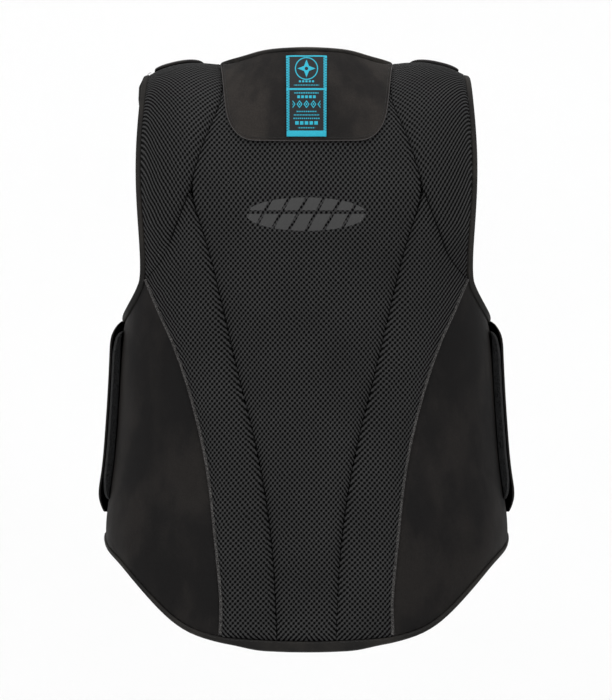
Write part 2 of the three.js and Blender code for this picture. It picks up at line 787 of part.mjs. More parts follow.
// The tab is worked out beside the right arm hole and laid beside the left one
function shoulderTabLeft() {
  const place = armholeFront[1];
  const along = pointAt(armholeFront[2]).sub(pointAt(armholeFront[0]));
  const normal = normalAt(place);
  const side = along.clone().cross(normal).normalize();
  const reach = ARMHOLE_BINDING_WIDTH + TAB_GAP + TAB_REACH / 2;
  const rise = reach * ARMHOLE_BINDING_LEAN - rimDepth(place) / 2;
  const centre = pointAt(place).addScaledVector(side, reach).addScaledVector(normal, rise);
  const toLeft = new THREE.Vector3(-1, 1, 1);
  [along, side, centre].forEach((vector) => vector.multiply(toLeft));
  return plate(TAB_LENGTH, TAB_REACH, TAB_THICKNESS, along, side, centre);
}

const hemHalf = joined(hemCentre, hemStrip, hemSide, hemFront);
const neckHalf = joined(neckBack, neckFront);
const armholeLoop = joined(armholeFront, armholeTurn, armholeSide, armholeBack).slice(1);
const hemOuterX = HEM_OUTER.out * CHEST_HALF_WIDTH;
const hemWidth = (point) => THREE.MathUtils.lerp(
  HEM_BINDING_WIDTH, HEM_SIDE_BINDING_WIDTH,
  Math.max(smooth(HEM_WIDE_SHARE, 1, Math.abs(point.x) / hemOuterX), point.y > 0 ? 1 : 0),
);
const hemBinding = binding(acrossCentre(hemHalf), hemWidth, {});
const neckPointX = NECK_POINT.out * CHEST_HALF_WIDTH;
const neckProud = (point) => THREE.MathUtils.lerp(
  NECK_BINDING_PROUD, BINDING_PROUD,
  Math.max(smooth(NECK_ROLL_END, 1, Math.abs(point.x) / neckPointX), point.y > 0 ? 1 : 0),
);
const neckBinding = binding(acrossCentre(neckHalf), () => NECK_BINDING_WIDTH, {
  outward: -1, proudAt: neckProud, start: NECK_BINDING_GAP,
});
const armholeBinding = binding(armholeLoop, () => ARMHOLE_BINDING_WIDTH, {
  closed: true, lean: ARMHOLE_BINDING_LEAN,
});

// Materials
const cloth = (color, roughness) => new THREE.MeshStandardMaterial({
  color, roughness, metalness: 0,
});
const netCloth = cloth(0x232324, 0.9);
const smoothCloth = cloth(0x1d1b1c, 0.75);
const yokeCloth = cloth(0x2a2726, 0.8);
const edgeCloth = cloth(0x18181a, 0.7);
const loopCloth = cloth(0x111112, 1);
const labelCloth = cloth(0x2bb5d4, 0.85);
const sliderMetal = new THREE.MeshStandardMaterial({
  color: 0x2c2c2e, roughness: 0.4, metalness: 0.8,
});

const vest = new THREE.Group();

function addPiece(name, shape, material) {
  const mesh = new THREE.Mesh(shape, material);
  mesh.name = name;
  vest.add(mesh);
}

function addPair(name, solid, material) {
  addPiece(`${name}_right`, solid.geometry(), material);
  addPiece(`${name}_left`, solid.mirror().geometry(), material);
}

addPiece('back_centre_panel', centrePanel().geometry(), netCloth);
addPair('back_strip', backStrip(), netCloth);
addPair('shoulder_panel', shoulderPanel(), netCloth);
addPair('side_panel', sidePanel(), smoothCloth);
addPair('front_panel', frontPanel(), smoothCloth);
addPair('front_shoulder', frontShoulder(), smoothCloth);
addPiece('neck_yoke', neckYoke().geometry(), yokeCloth);
addPiece('neck_label', neckLabel().geometry(), labelCloth);
addPiece('front_zip', zipStrip().geometry(), edgeCloth);
addPiece('zip_slider', zipSlider(), sliderMetal);
addPiece('hem_binding', hemBinding.geometry(), edgeCloth);
addPiece('neck_binding', neckBinding.geometry(), edgeCloth);
addPair('armhole_binding', armholeBinding, edgeCloth);
addPair('side_loop_panel', loopPanel(), loopCloth);
addPair('side_closure_flap', closureFlap(), smoothCloth);
addPair('shoulder_closure', shoulderClosure(), smoothCloth);
addPiece('shoulder_tab_left', shoulderTabLeft(), edgeCloth);

export default vest;
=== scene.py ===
"""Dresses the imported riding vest: padded net and cloth panels, bound edges, label, closures."""
import math

import bmesh
import bpy
import numpy as np
from bpy.props import FloatProperty, FloatVectorProperty, IntProperty, PointerProperty
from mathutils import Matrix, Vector, noise
from mathutils.bvhtree import BVHTree
from mathutils.kdtree import KDTree


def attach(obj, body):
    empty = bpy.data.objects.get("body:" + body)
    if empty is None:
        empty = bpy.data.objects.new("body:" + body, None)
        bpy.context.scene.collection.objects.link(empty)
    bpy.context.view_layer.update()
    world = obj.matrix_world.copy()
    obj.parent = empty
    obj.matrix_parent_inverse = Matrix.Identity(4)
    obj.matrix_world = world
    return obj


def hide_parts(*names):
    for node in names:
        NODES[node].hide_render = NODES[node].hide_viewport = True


bl_info = {
    "name": "Padded riding vest",
    "version": (1, 0, 0),
    "blender": (4, 5, 0),
    "location": "View3D > Sidebar > Vest",
    "description": "Models and finishes a padded riding vest around its packed frame",
    "category": "Object",
}

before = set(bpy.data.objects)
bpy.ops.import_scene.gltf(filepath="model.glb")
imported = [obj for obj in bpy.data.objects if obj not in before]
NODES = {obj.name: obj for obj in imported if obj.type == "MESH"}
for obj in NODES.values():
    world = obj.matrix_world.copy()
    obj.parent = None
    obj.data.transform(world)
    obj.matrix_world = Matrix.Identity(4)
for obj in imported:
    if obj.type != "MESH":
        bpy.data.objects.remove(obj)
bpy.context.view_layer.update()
SIDES = ("right", "left")

# The body that the vest is cut for, in metres: nearly the same form as the solids
HALF_WIDTH = 0.1695
HALF_DEPTH = 0.1326
SECTION_POWER = 2.5
DOME_START = -0.150
DOME_HEIGHT = 0.155

# How far the net follows the round of the shoulders, and where it starts to
DOME_WRAP = 0.7
DOME_BLEND = 0.09

# Edges sharper than the first angle stay edges; a binding keeps only those past the second
SHARP_ANGLE = math.radians(42)
FOLD_ANGLE = math.radians(62)
SMOOTH_DEGREES = 50
ROUND_DEGREES = 60
MERGE_DISTANCE = 0.00001

# How far a normal has to point out of the body: at an outer vertex, a rim and an outer face
OUTER_LEAST = 0.3
RIM_LEAST = 0.15
FACE_LEAST = 0.6

# Weights of the depth and of the rise over the shoulders in the way out of the body
DEPTH_WEIGHT = 1.4
RISE_WEIGHT = 0.11

# Padding: reach of the held rim, seam channels, soft hollows and the skin over the gaps
HELD_REACH = 0.008
SEAM_REACH = 0.0055
SEAM_DEPTH = 0.0011
SOFT_DEPTH = 0.0007
SKIN = 0.00025
ZIP_SKIN = 0.0007

# Where the net is drawn out: near a seam, and from this arc length towards the sides
PULL_REACH = 0.009
SIDE_PULL_START = 0.105
SIDE_PULL_SPAN = 0.05

UV_NAME = "cloth"
PULL_NAME = "pull"


class VestSizes(bpy.types.PropertyGroup):
    """Sizes of the net, the stitches and the padding."""
    hole_pitch_across: FloatProperty(
        name="Hole pitch across", description="Distance between net holes across the back",
        default=0.00449, unit="LENGTH")
    hole_pitch_down: FloatProperty(
        name="Hole pitch down", description="Distance between net holes down the back",
        default=0.00505, unit="LENGTH")
    stitch_length: FloatProperty(
        name="Stitch length", description="Length of one stitch", default=0.0032, unit="LENGTH")
    thread_radius: FloatProperty(
        name="Thread radius", description="Radius of the sewing thread",
        default=0.00022, unit="LENGTH")
    bead_radius: FloatProperty(
        name="Bead radius", description="Radius of the rolled bead along the net's outer seam",
        default=0.0017, unit="LENGTH")
    pad_pressure: FloatProperty(
        name="Pad pressure", description="Pressure of the cloth simulation in the padding",
        default=4.0)
    swell_limit: FloatProperty(
        name="Swell limit", description="Furthest that a pad's surface may move",
        default=0.003, unit="LENGTH")
    pad_frames: IntProperty(
        name="Pad frames", description="Frames that the padding is simulated for", default=20)


class VestColours(bpy.types.PropertyGroup):
    """Base colours of the cloths, as linear values."""
    net: FloatVectorProperty(
        name="Net", description="Colour of the net's yarn", subtype="COLOR",
        default=(0.0128, 0.0128, 0.0129))
    # Near-black inside the holes: painted shade in the net's hollows, over the dark yarn beneath
    hole_shade: FloatVectorProperty(
        name="Hole", description="Colour inside the net's holes", subtype="COLOR",
        default=(0.0005, 0.0005, 0.0005))
    smooth: FloatVectorProperty(
        name="Smooth cloth", description="Colour of the side panels and the front",
        subtype="COLOR", default=(0.0064, 0.0060, 0.0060))
    yoke: FloatVectorProperty(
        name="Yoke", description="Colour of the neck yoke", subtype="COLOR",
        default=(0.0098, 0.0090, 0.0087))
    edge: FloatVectorProperty(
        name="Edge cloth", description="Colour of the bound edges", subtype="COLOR",
        default=(0.0100, 0.0096, 0.0093))
    loop: FloatVectorProperty(
        name="Loop pile", description="Colour of the fuzzy side pads", subtype="COLOR",
        default=(0.0045, 0.0046, 0.0050))
    label: FloatVectorProperty(
        name="Label blue", description="Colour of the label's woven border", subtype="COLOR",
        default=(0.012, 0.235, 0.315))
    label_ground: FloatVectorProperty(
        name="Label ground", description="Colour of the label's woven ground",
        subtype="COLOR", default=(0.0058, 0.0072, 0.0086))
    print_grey: FloatVectorProperty(
        name="Print grey", description="Colour of the printed bars on the back",
        subtype="COLOR", default=(0.044, 0.044, 0.044))


def sizes():
    return bpy.context.scene.vest_sizes


def colours():
    return bpy.context.scene.vest_colours


def shaded(colour, factor):
    """The colour made lighter or darker by a factor."""
    return [part * factor for part in colour]


CONSTANT_INPUTS = {
    "sheen_weight": "Sheen Weight", "sheen_roughness": "Sheen Roughness",
    "specular": "Specular IOR Level", "metallic": "Metallic",
}


class Signal:
    """A socket that carries a number, with arithmetic that adds Math nodes."""

    def __init__(self, finish, socket):
        self.finish = finish
        self.socket = socket

    def __add__(self, other):
        return self.finish.math("ADD", self, other)

    __radd__ = __add__

    def __sub__(self, other):
        return self.finish.math("SUBTRACT", self, other)

    def __rsub__(self, other):
        return self.finish.math("SUBTRACT", other, self)

    def __mul__(self, other):
        return self.finish.math("MULTIPLY", self, other)

    __rmul__ = __mul__

    def __truediv__(self, other):
        return self.finish.math("DIVIDE", self, other)

    def __gt__(self, other):
        return self.finish.math("GREATER_THAN", self, other)

    def __lt__(self, other):
        return self.finish.math("LESS_THAN", self, other)


class Finish:
    """One procedural material and the nodes that make it."""

    def __init__(self, name, diffuse):
        self.material = bpy.data.materials.new(name)
        self.material.use_nodes = True
        self.material.diffuse_color = (*diffuse, 1)
        self.tree = self.material.node_tree
        self.shader = self.tree.nodes["Principled BSDF"]

    def node(self, kind, settings=None, inputs=None):
        made = self.tree.nodes.new(kind)
        for key, value in (settings or {}).items():
            setattr(made, key, value)
        for key, value in (inputs or {}).items():
            self.feed(made.inputs[key], value)
        return made

    def feed(self, socket, value):
        if isinstance(value, Signal):
            self.tree.links.new(value.socket, socket)
        elif isinstance(value, bpy.types.NodeSocket):
            self.tree.links.new(value, socket)
        else:
            socket.default_value = value

    def math(self, operation, *values, clamp=False):
        settings = {"operation": operation, "use_clamp": clamp}
        made = self.node("ShaderNodeMath", settings, dict(enumerate(values)))
        return Signal(self, made.outputs[0])

    def uv(self):
        made = self.node("ShaderNodeUVMap", {"uv_map": UV_NAME})
        return made.outputs["UV"]

    def place(self):
        return self.node("ShaderNodeTexCoord").outputs["Object"]

    def parts(self, vector):
        made = self.node("ShaderNodeSeparateXYZ", inputs={0: vector})
        return [Signal(self, socket) for socket in made.outputs]

    def attribute(self, name):
        made = self.node("ShaderNodeAttribute", {"attribute_name": name})
        return Signal(self, made.outputs["Fac"])

    def stretched(self, vector, scale):
        made = self.node("ShaderNodeMapping", inputs={"Vector": vector, "Scale": scale})
        return made.outputs[0]

    def noise(self, vector, scale, detail=2.0, rough=0.5):
        made = self.node("ShaderNodeTexNoise", inputs={
            "Vector": vector, "Scale": scale, "Detail": detail, "Roughness": rough})
        return Signal(self, made.outputs["Fac"])

    def smooth(self, value, low, high):
        made = self.node("ShaderNodeMapRange", {"interpolation_type": "SMOOTHSTEP"}, {
            "Value": value, "From Min": low, "From Max": high})
        return Signal(self, made.outputs["Result"])

    def mix(self, factor, first, second):
        made = self.node("ShaderNodeMix", {"data_type": "RGBA"})
        self.feed(made.inputs[0], factor)
        self.feed(made.inputs[6], self.colour(first))
        self.feed(made.inputs[7], self.colour(second))
        return made.outputs[2]

    @staticmethod
    def colour(value):
        if isinstance(value, bpy.types.NodeSocket):
            return value
        return (*value, 1)

    def bump(self, height, distance, strength=1.0):
        made = self.node("ShaderNodeBump", inputs={
            "Height": height, "Distance": distance, "Strength": strength})
        return made.outputs["Normal"]

    def done(self, base, roughness, normal=None, **constants):
        self.feed(self.shader.inputs["Base Color"], self.colour(base))
        self.feed(self.shader.inputs["Roughness"], roughness)
        if normal is not None:
            self.feed(self.shader.inputs["Normal"], normal)
        for key, value in constants.items():
            self.shader.inputs[CONSTANT_INPUTS[key]].default_value = value
        return self.material


def wave(finish, value):
    """A cosine that repeats with each whole number."""
    return finish.math("COSINE", value * (2 * math.pi))


# Finishes

PRINT_CENTRE_Z = -0.1415
PRINT_HALF_HEIGHT = 0.0155
PRINT_HALF_WIDTH = 0.056
PRINT_BARS = 7
PRINT_LEAN = 0.55
PRINT_BAR_EDGE = (0.41, 0.39)
PRINT_GAP_PLACE = 0.12
PRINT_GAP_EDGE = (0.09, 0.12)

# Only cloth further back than this is printed, which leaves the panel's inner side plain
PRINT_FACE_Y = -0.121


def printed_bars(finish):
    """A generic oval of slanted bars, as high and wide as the print on the back."""
    x, y, z = finish.parts(finish.place())
    down = (z - PRINT_CENTRE_Z) / PRINT_HALF_HEIGHT
    lean = x - down * (PRINT_HALF_HEIGHT * PRINT_LEAN)
    pitch = 2 * PRINT_HALF_WIDTH / PRINT_BARS
    across = finish.math("ABSOLUTE", finish.math("FRACT", lean / pitch + 0.5) - 0.5)
    bar = finish.smooth(across, *PRINT_BAR_EDGE)
    wide = x / PRINT_HALF_WIDTH
    inside = finish.smooth(wide * wide + down * down, 1.0, 0.97)
    gap = finish.math("ABSOLUTE", down - PRINT_GAP_PLACE)
    split = finish.smooth(gap, *PRINT_GAP_EDGE)
    return bar * inside * split * (y < PRINT_FACE_Y)


def net_finish(name, with_print=False):
    """Spacer net: a slanting lattice of small round holes, drawn out where the net is pulled,
    with painted highlight on the yarn ribs and painted shade in the holes.
    """
    col = colours()
    size = sizes()
    finish = Finish(name, col.net)
    uv = finish.uv()
    u, v, _ = finish.parts(uv)
    drift = finish.noise(uv, 60.0, 1.0) - 0.5
    a = u / size.hole_pitch_across + drift * 0.5
    b = v / size.hole_pitch_down + drift * 0.35
    pull = finish.attribute(PULL_NAME)
    right_pull = finish.math("MAXIMUM", pull, 0.0)
    left_pull = finish.math("MAXIMUM", pull * -1.0, 0.0)
    rising = wave(finish, a + b)
    falling = wave(finish, a - b)
    lattice = rising * (1 - right_pull * 0.85) + falling * (1 - left_pull * 0.85)
    drawn = (right_pull + left_pull) * 0.36
    hole_shade = finish.smooth(lattice + drawn, -0.05, 0.85)
    yarn = finish.noise(uv, 1500.0, 2.0)
    cloudy = finish.noise(uv, 14.0, 3.0)
    # Lighter diagonal streaks along the yarn ribs are painted highlight, leaning with the pull;
    # the same ribs also raise the bump
    slash_highlight = (1 - falling) * (0.33 - left_pull * 0.33 + right_pull * 0.17)
    back_slash_highlight = (1 - rising) * (0.17 - right_pull * 0.17 + left_pull * 0.33)
    rib_and_highlight = slash_highlight + back_slash_highlight
    # The yarn is lightened by this painted highlight and by random fibre noise
    light = finish.math("ADD", rib_and_highlight * 0.9, (yarn - 0.5) * 0.9, clamp=True)
    bright = finish.mix(light, shaded(col.net, 0.55), shaded(col.net, 3.2))
    dull = finish.mix(cloudy * 0.6, bright, shaded(col.net, 0.8))
    # The holes take the hole colour, which is painted shade over the dark yarn beneath
    base = finish.mix(hole_shade, dull, col.hole_shade)
    height = (1 - hole_shade) * 0.8 + yarn * 0.18 + rib_and_highlight * 0.25
    rough = 0.82 - yarn * 0.1
    if with_print:
        shown = printed_bars(finish)
        speck = finish.noise(uv, 2600.0, 1.0)
        ink = finish.mix(speck, shaded(col.print_grey, 0.75), col.print_grey)
        base = finish.mix(shown, base, ink)
        height = height * (1 - shown) + shown * (1.0 + speck * 0.05)
        rough = rough * (1 - shown) + shown * 0.5
    normal = finish.bump(height, 0.0007)
    return finish.done(base, rough, normal, specular=0.03)


def smooth_finish(name, colour, weave=1.0, cloud=0.5):
    """Fine knitted cloth with soft cloudy patches."""
    finish = Finish(name, colour)
    place = finish.place()
    rows = finish.noise(finish.stretched(place, (1.0, 1.0, 0.35)), 2200.0, 2.0)
    fibre = finish.noise(place, 900.0, 3.0)
    clouds = finish.noise(finish.stretched(place, (1.0, 1.0, 0.6)), 19.0, 4.0, 0.6)
    patch = finish.smooth(clouds, 0.38, 0.64)
    grain = finish.smooth(finish.noise(place, 700.0, 2.0, 0.7), 0.35, 0.65)
    lifted = (colour[0] * 2.35, colour[1] * 2.2, colour[2] * 2.0)
    tone = finish.mix(patch * cloud, colour, lifted)
    warm = finish.mix(finish.smooth(clouds, 0.55, 0.8) * 0.5, tone,
                      (colour[0] * 1.5, colour[1] * 1.45, colour[2] * 1.25))
    grained = finish.mix(grain * 0.34 * weave, warm, shaded(colour, 0.35))
    base = finish.mix(rows * 0.3 * weave, grained, shaded(colour, 0.45))
    normal = finish.bump(rows * 0.6 + fibre * 0.5, 0.00022, 0.8)
    return finish.done(base, 0.72 - patch * 0.08, normal, specular=0.06)


def loop_finish(name, colour):
    """Loop pile: short tangled fuzz."""
    finish = Finish(name, colour)
    place = finish.place()
    tangle = finish.smooth(finish.noise(place, 900.0, 4.0, 0.75), 0.42, 0.64)
    tufts = finish.noise(place, 420.0, 2.0)
    base = finish.mix(tangle, shaded(colour, 0.35), shaded(colour, 3.4))
    normal = finish.bump(tangle + tufts, 0.0012)
    return finish.done(base, 0.98, normal, sheen_weight=0.04, specular=0.05)


def bead_finish(name, colour):
    """Rolled net edge caught by an overlock thread: light specks over dark."""
    finish = Finish(name, colour)
    place = finish.place()
    speck = finish.noise(place, 1100.0, 2.0, 0.7)
    light = finish.smooth(speck, 0.48, 0.60)
    base = finish.mix(light, colour, shaded(colour, 7))
    return finish.done(base, 0.75, finish.bump(speck, 0.0005), specular=0.15)


def thread_finish(name, colour):
    """Twisted sewing thread."""
    finish = Finish(name, colour)
    twist = finish.noise(finish.place(), 2500.0, 2.0)
    base = finish.mix(twist, colour, shaded(colour, 1.8))
    return finish.done(base, 0.6, finish.bump(twist, 0.0001), specular=0.2)


def metal_finish(name, colour):
    """Dark painted metal with light wear."""
    finish = Finish(name, colour)
    wear = finish.noise(finish.place(), 300.0, 3.0)
    base = finish.mix(finish.smooth(wear, 0.6, 0.75), colour, shaded(colour, 3))
    return finish.done(base, wear * 0.2 + 0.3, finish.bump(wear, 0.00005), metallic=0.8)


# Heights and widths on the label, in metres from the vest's own origin
LABEL = {"half_width": 0.018, "top": 0.0068, "foot": -0.0697, "divider": -0.0259,
         "border": 0.0023, "foot_band": 0.0052, "half_line": 0.0009, "tick": 0.0024}
RING = {"middle": -0.0066, "radius": 0.0102, "half_line": 0.0005}
STAR = {"reach": 0.0086, "soft_reach": 0.0083, "hub": 0.0016, "slimness": 2.6}

# Each row of plain marks: middle height, half height, half width, pitch and share of a mark
MARK_ROWS = (
    (-0.0187, 0.0009, 0.0074, 0.0030, 0.66),
    (-0.0222, 0.0005, 0.0118, 0.0015, 0.60),
    (-0.0295, 0.0007, 0.0112, 0.0016, 0.62),
    (-0.0331, 0.0013, 0.0092, 0.0036, 0.72),
    (-0.0468, 0.0006, 0.0096, 0.0017, 0.62),
    (-0.0500, 0.0006, 0.0118, 0.0014, 0.60),
    (-0.0532, 0.0006, 0.0124, 0.0019, 0.64),
    (-0.0574, 0.0016, 0.0112, 0.0044, 0.74),
    (-0.0619, 0.0006, 0.0078, 0.0016, 0.60),
)
DIAMOND_ROW = {"middle": -0.0400, "half_height": 0.0038, "half_width": 0.0128, "pitch": 0.0064}
SOFT_EDGE = 0.00012

# Keeps the pattern's argument above zero, with a copy centred on the label's middle
WHOLE_COPIES = 60.5


def repeated(finish, value, pitch):
    """The distance from the middle of each copy of a pattern, as a share of its pitch."""
    return finish.math("ABSOLUTE", finish.math("FRACT", value / pitch + WHOLE_COPIES) - 0.5)


def marks_of(finish, x, z):
    """Rows of plain bars and a row of diamonds."""
    out = finish.math("ABSOLUTE", x)
    marks = None
    for middle, half_height, half_width, pitch, share in MARK_ROWS:
        near = finish.math("ABSOLUTE", z - middle)
        row = finish.smooth(near, half_height + SOFT_EDGE, half_height - SOFT_EDGE)
        along = repeated(finish, x, pitch)
        row = row * (along < share / 2) * (out < half_width)
        marks = row if marks is None else finish.math("MAXIMUM", marks, row)
    row = DIAMOND_ROW
    along = repeated(finish, x, row["pitch"])
    near = finish.math("ABSOLUTE", z - row["middle"]) / row["half_height"]
    slope = near + along * 2.3
    gem = finish.smooth(slope, 1.0, 0.95) * (out < row["half_width"])
    gem = gem * finish.math("MAXIMUM", slope > 0.62, slope < 0.30)
    return finish.math("MAXIMUM", marks, gem)


def emblem_of(finish, x, z):
    """A thin ring round a plain compass star."""
    level = z - RING["middle"]
    far = finish.math("SQRT", x * x + level * level)
    offset = finish.math("ABSOLUTE", far - RING["radius"])
    ring = finish.smooth(offset, RING["half_line"] + SOFT_EDGE, RING["half_line"] - SOFT_EDGE)
    wide = finish.math("ABSOLUTE", x)
    high = finish.math("ABSOLUTE", level)
    upright = wide * STAR["slimness"] + high
    lying = wide + high * STAR["slimness"]
    star = finish.math("MINIMUM", upright, lying)
    star = finish.smooth(star, STAR["reach"], STAR["soft_reach"]) * (far > STAR["hub"])
    return finish.math("MAXIMUM", ring, star)


def label_finish(name):
    """Woven label: stitched blue border, a divider and plain generic marks."""
    col = colours()
    finish = Finish(name, col.label)
    place = finish.place()
    x, _, z = finish.parts(place)
    out = finish.math("ABSOLUTE", x)
    inner = LABEL["half_width"] - LABEL["border"]
    sides = finish.smooth(out, inner - SOFT_EDGE, inner + SOFT_EDGE)
    top = LABEL["top"] - LABEL["border"]
    head = finish.smooth(z, top - SOFT_EDGE, top + SOFT_EDGE)
    base_line = LABEL["foot"] + LABEL["foot_band"]
    foot = finish.smooth(z, base_line + SOFT_EDGE, base_line - SOFT_EDGE)
    divider = finish.math("ABSOLUTE", z - LABEL["divider"])
    bar = finish.smooth(divider, LABEL["half_line"] + SOFT_EDGE, LABEL["half_line"] - SOFT_EDGE)
    tick = finish.math("ABSOLUTE", finish.math("FRACT", (z + 0.2) / LABEL["tick"]) - 0.5)
    outer_half = out > LABEL["half_width"] - LABEL["border"] * 0.55
    notch = (tick < 0.22) * outer_half + (tick > 0.30) * (1 - outer_half)
    sides = sides * (1 - notch * 0.55)
    blue = finish.math("MAXIMUM", finish.math("MAXIMUM", sides, head),
                       finish.math("MAXIMUM", foot, bar))
    blue = finish.math("MAXIMUM", blue, marks_of(finish, x, z))
    blue = finish.math("MAXIMUM", blue, emblem_of(finish, x, z))
    weave = finish.noise(finish.stretched(place, (1.0, 1.0, 2.6)), 1500.0, 1.0)
    bright = finish.mix(weave, shaded(col.label, 0.7),
                        [min(part, 1) for part in shaded(col.label, 1.45)])
    base = finish.mix(blue, col.label_ground, bright)
    normal = finish.bump(weave * 0.5 + blue * 0.6, 0.0003)
    return finish.done(base, 0.7, normal, specular=0.2)


# Modelling helpers

# The rim of each panel made so far, as ordered places with the panel's normal at each
rim_lines = {}


def deselect_all():
    if bpy.context.object and bpy.context.object.mode != "OBJECT":
        bpy.ops.object.mode_set(mode="OBJECT")
    bpy.ops.object.select_all(action="DESELECT")


def make_active(piece):
    deselect_all()
    piece.select_set(True)
    bpy.context.view_layer.objects.active = piece


def copy_of_node(node, name):
    """The node's solid as a new mesh of joined four-sided faces."""
    piece = bpy.data.objects.new(name, NODES[node].data.copy())
    bpy.context.scene.collection.objects.link(piece)
    piece.data.materials.clear()
    for layer in list(piece.data.uv_layers):
        piece.data.uv_layers.remove(layer)
    make_active(piece)
    bpy.ops.object.mode_set(mode="EDIT")
    bpy.ops.mesh.select_all(action="SELECT")
    bpy.ops.mesh.customdata_custom_splitnormals_clear()
    bpy.ops.mesh.remove_doubles(threshold=MERGE_DISTANCE)
    bpy.ops.mesh.tris_convert_to_quads(
        face_threshold=math.radians(35), shape_threshold=math.radians(75))
    bpy.ops.mesh.select_all(action="DESELECT")
    bpy.ops.object.mode_set(mode="OBJECT")
    return piece


def crease_sharp_edges(piece, angle=SHARP_ANGLE):
    make_active(piece)
    bpy.ops.object.mode_set(mode="EDIT")
    bpy.ops.mesh.select_mode(type="EDGE")
    bpy.ops.mesh.select_all(action="DESELECT")
    bpy.ops.mesh.edges_select_sharp(sharpness=angle)
    bpy.ops.transform.edge_crease(value=1.0)
    bpy.ops.mesh.select_all(action="DESELECT")
    bpy.ops.object.mode_set(mode="OBJECT")


def subdivide_smooth(piece, levels):
    make_active(piece)
    rounding = piece.modifiers.new("Rounding", "SUBSURF")
    rounding.levels = levels
    rounding.render_levels = levels
    bpy.ops.object.modifier_apply(modifier=rounding.name)


def shade_smooth(piece, degrees=SMOOTH_DEGREES):
    make_active(piece)
    bpy.ops.object.shade_smooth_by_angle(angle=math.radians(degrees))


def points_of(mesh):
    values = np.empty(len(mesh.vertices) * 3)
    mesh.vertices.foreach_get("co", values)
    return values.reshape(-1, 3)


def normals_of(mesh):
    values = np.empty(len(mesh.vertices) * 3)
    mesh.vertex_normals.foreach_get("vector", values)
    return values.reshape(-1, 3)


def move_points(mesh, points):
    mesh.vertices.foreach_set("co", points.ravel())
    mesh.update()


def ways_out(points):
    """The way out of the body at each point, roughly."""
    rise = np.clip((points[:, 2] - DOME_START) / DOME_HEIGHT, 0, None)
    flat = 1 - np.clip(rise, 0, 1)
    ways = np.stack([points[:, 0] * flat, points[:, 1] * DEPTH_WEIGHT, rise * RISE_WEIGHT], 1)
    return ways / np.maximum(np.linalg.norm(ways, axis=1, keepdims=True), 1e-9)


def outward(point):
    """The way out of the body at one point."""
    return Vector(ways_out(np.array([point]))[0])


def faces_out(mesh):
    """Which vertices lie on the outer side of a panel."""
    ways = ways_out(points_of(mesh))
    return np.einsum("ij,ij->i", normals_of(mesh), ways) > OUTER_LEAST


def tree_of(places):
    tree = KDTree(len(places))
    for index, place in enumerate(places):
        tree.insert(place, index)
    tree.balance()
    return tree


def nearness(points, rims):
    """The distance from each point to the nearest place on a panel's rim."""
    tree = tree_of([place for place, _ in rims])
    return np.array([tree.find(point)[2] for point in points])


def outer_rim(mesh):
    """Ordered places round the outer edge of a panel, with the panel's normal at each."""
    shape = bmesh.new()
    shape.from_mesh(mesh)
    shape.normal_update()
    edges = []
    for edge in shape.edges:
        if len(edge.link_faces) != 2 or edge.calc_face_angle(0) < SHARP_ANGLE:
            continue
        if all(vert.normal.dot(outward(vert.co)) > RIM_LEAST for vert in edge.verts):
            edges.append(edge)
    links = {}
    for edge in edges:
        first, second = edge.verts
        links.setdefault(first, []).append(second)
        links.setdefault(second, []).append(first)
    best = []
    unused = set(links)
    while unused:
        start = min(unused, key=lambda vert: vert.index)
        path = [start]
        unused.discard(start)
        step = next((vert for vert in links[start] if vert in unused), None)
        while step is not None:
            path.append(step)
            unused.discard(step)
            step = next((vert for vert in links[step] if vert in unused), None)
        if len(path) > len(best):
            best = path
    places = [(vert.co.copy(), face_normal(vert)) for vert in best]
    shape.free()
    return places


def face_normal(vert):
    """The normal of the outer faces at a rim vertex."""
    way = outward(vert.co)
    total = Vector()
    for face in vert.link_faces:
        if face.normal.dot(way) > FACE_LEAST:
            total += face.normal
    return total.normalized() if total.length else way


# Cloth coordinates

def arc_table():
    """Turn angle and arc length round a chest section, and the share out from the centre."""
    angles = np.linspace(0, math.pi, 721)
    sine = np.abs(np.sin(angles))
    cosine = np.abs(np.cos(angles))
    scale = (sine ** SECTION_POWER + cosine ** SECTION_POWER) ** (-1 / SECTION_POWER)
    along = sine * scale
    x = HALF_WIDTH * along
    y = -HALF_DEPTH * np.cos(angles) * scale
    steps = np.hypot(np.diff(x), np.diff(y))
    return angles, np.concatenate([[0], np.cumsum(steps)]), along


ANGLES, ARCS, ALONG = arc_table()
HALF_TABLE = 361


def quarter_arc(first, second):
    """The length of a quarter of an ellipse with these half axes."""
    ends = np.sqrt((3 * first + second) * (first + 3 * second))
    return math.pi / 4 * (3 * (first + second) - ends)


def cloth_place(points):
    """Places on the cloth as arc lengths round and up the body, for an array of points."""
    x, y, z = points.T
    share = np.clip(np.abs(x) / HALF_WIDTH, 0, 0.995)
    body_turn = np.arctan2(np.abs(x) / HALF_WIDTH, -y / HALF_DEPTH)
    dome_turn = np.interp(share, ALONG[:HALF_TABLE], ANGLES[:HALF_TABLE])
    dome_depth = HALF_DEPTH * (1 - share ** SECTION_POWER) ** (1 / SECTION_POWER)
    flat = np.clip(np.abs(y) / dome_depth, 0, 1) * DOME_WRAP
    dome_u = np.interp(dome_turn, ANGLES, ARCS) * flat + np.abs(x) * (1 - flat)
    dome_u = np.where(y > 0, ARCS[-1] - dome_u, dome_u)
    climb = np.arctan2(np.maximum(z - DOME_START, 0) / DOME_HEIGHT, np.abs(y) / dome_depth)
    dome_v = DOME_START + climb / (math.pi / 2) * quarter_arc(dome_depth, DOME_HEIGHT)
    rise = np.clip((z - DOME_START) / DOME_BLEND + 1, 0, 1)
    rise = rise * rise * (3 - 2 * rise)
    u = dome_u * rise + np.interp(body_turn, ANGLES, ARCS) * (1 - rise)
    return u * np.sign(x), np.where(z > DOME_START, dome_v, z)


def add_cloth_map(piece):
    mesh = piece.data
    u, v = cloth_place(points_of(mesh))
    corner = np.empty(len(mesh.loops), dtype=np.int32)
    mesh.loops.foreach_get("vertex_index", corner)
    layer = mesh.uv_layers.new(name=UV_NAME)
    layer.data.foreach_set("uv", np.stack([u[corner], v[corner]], 1).ravel())


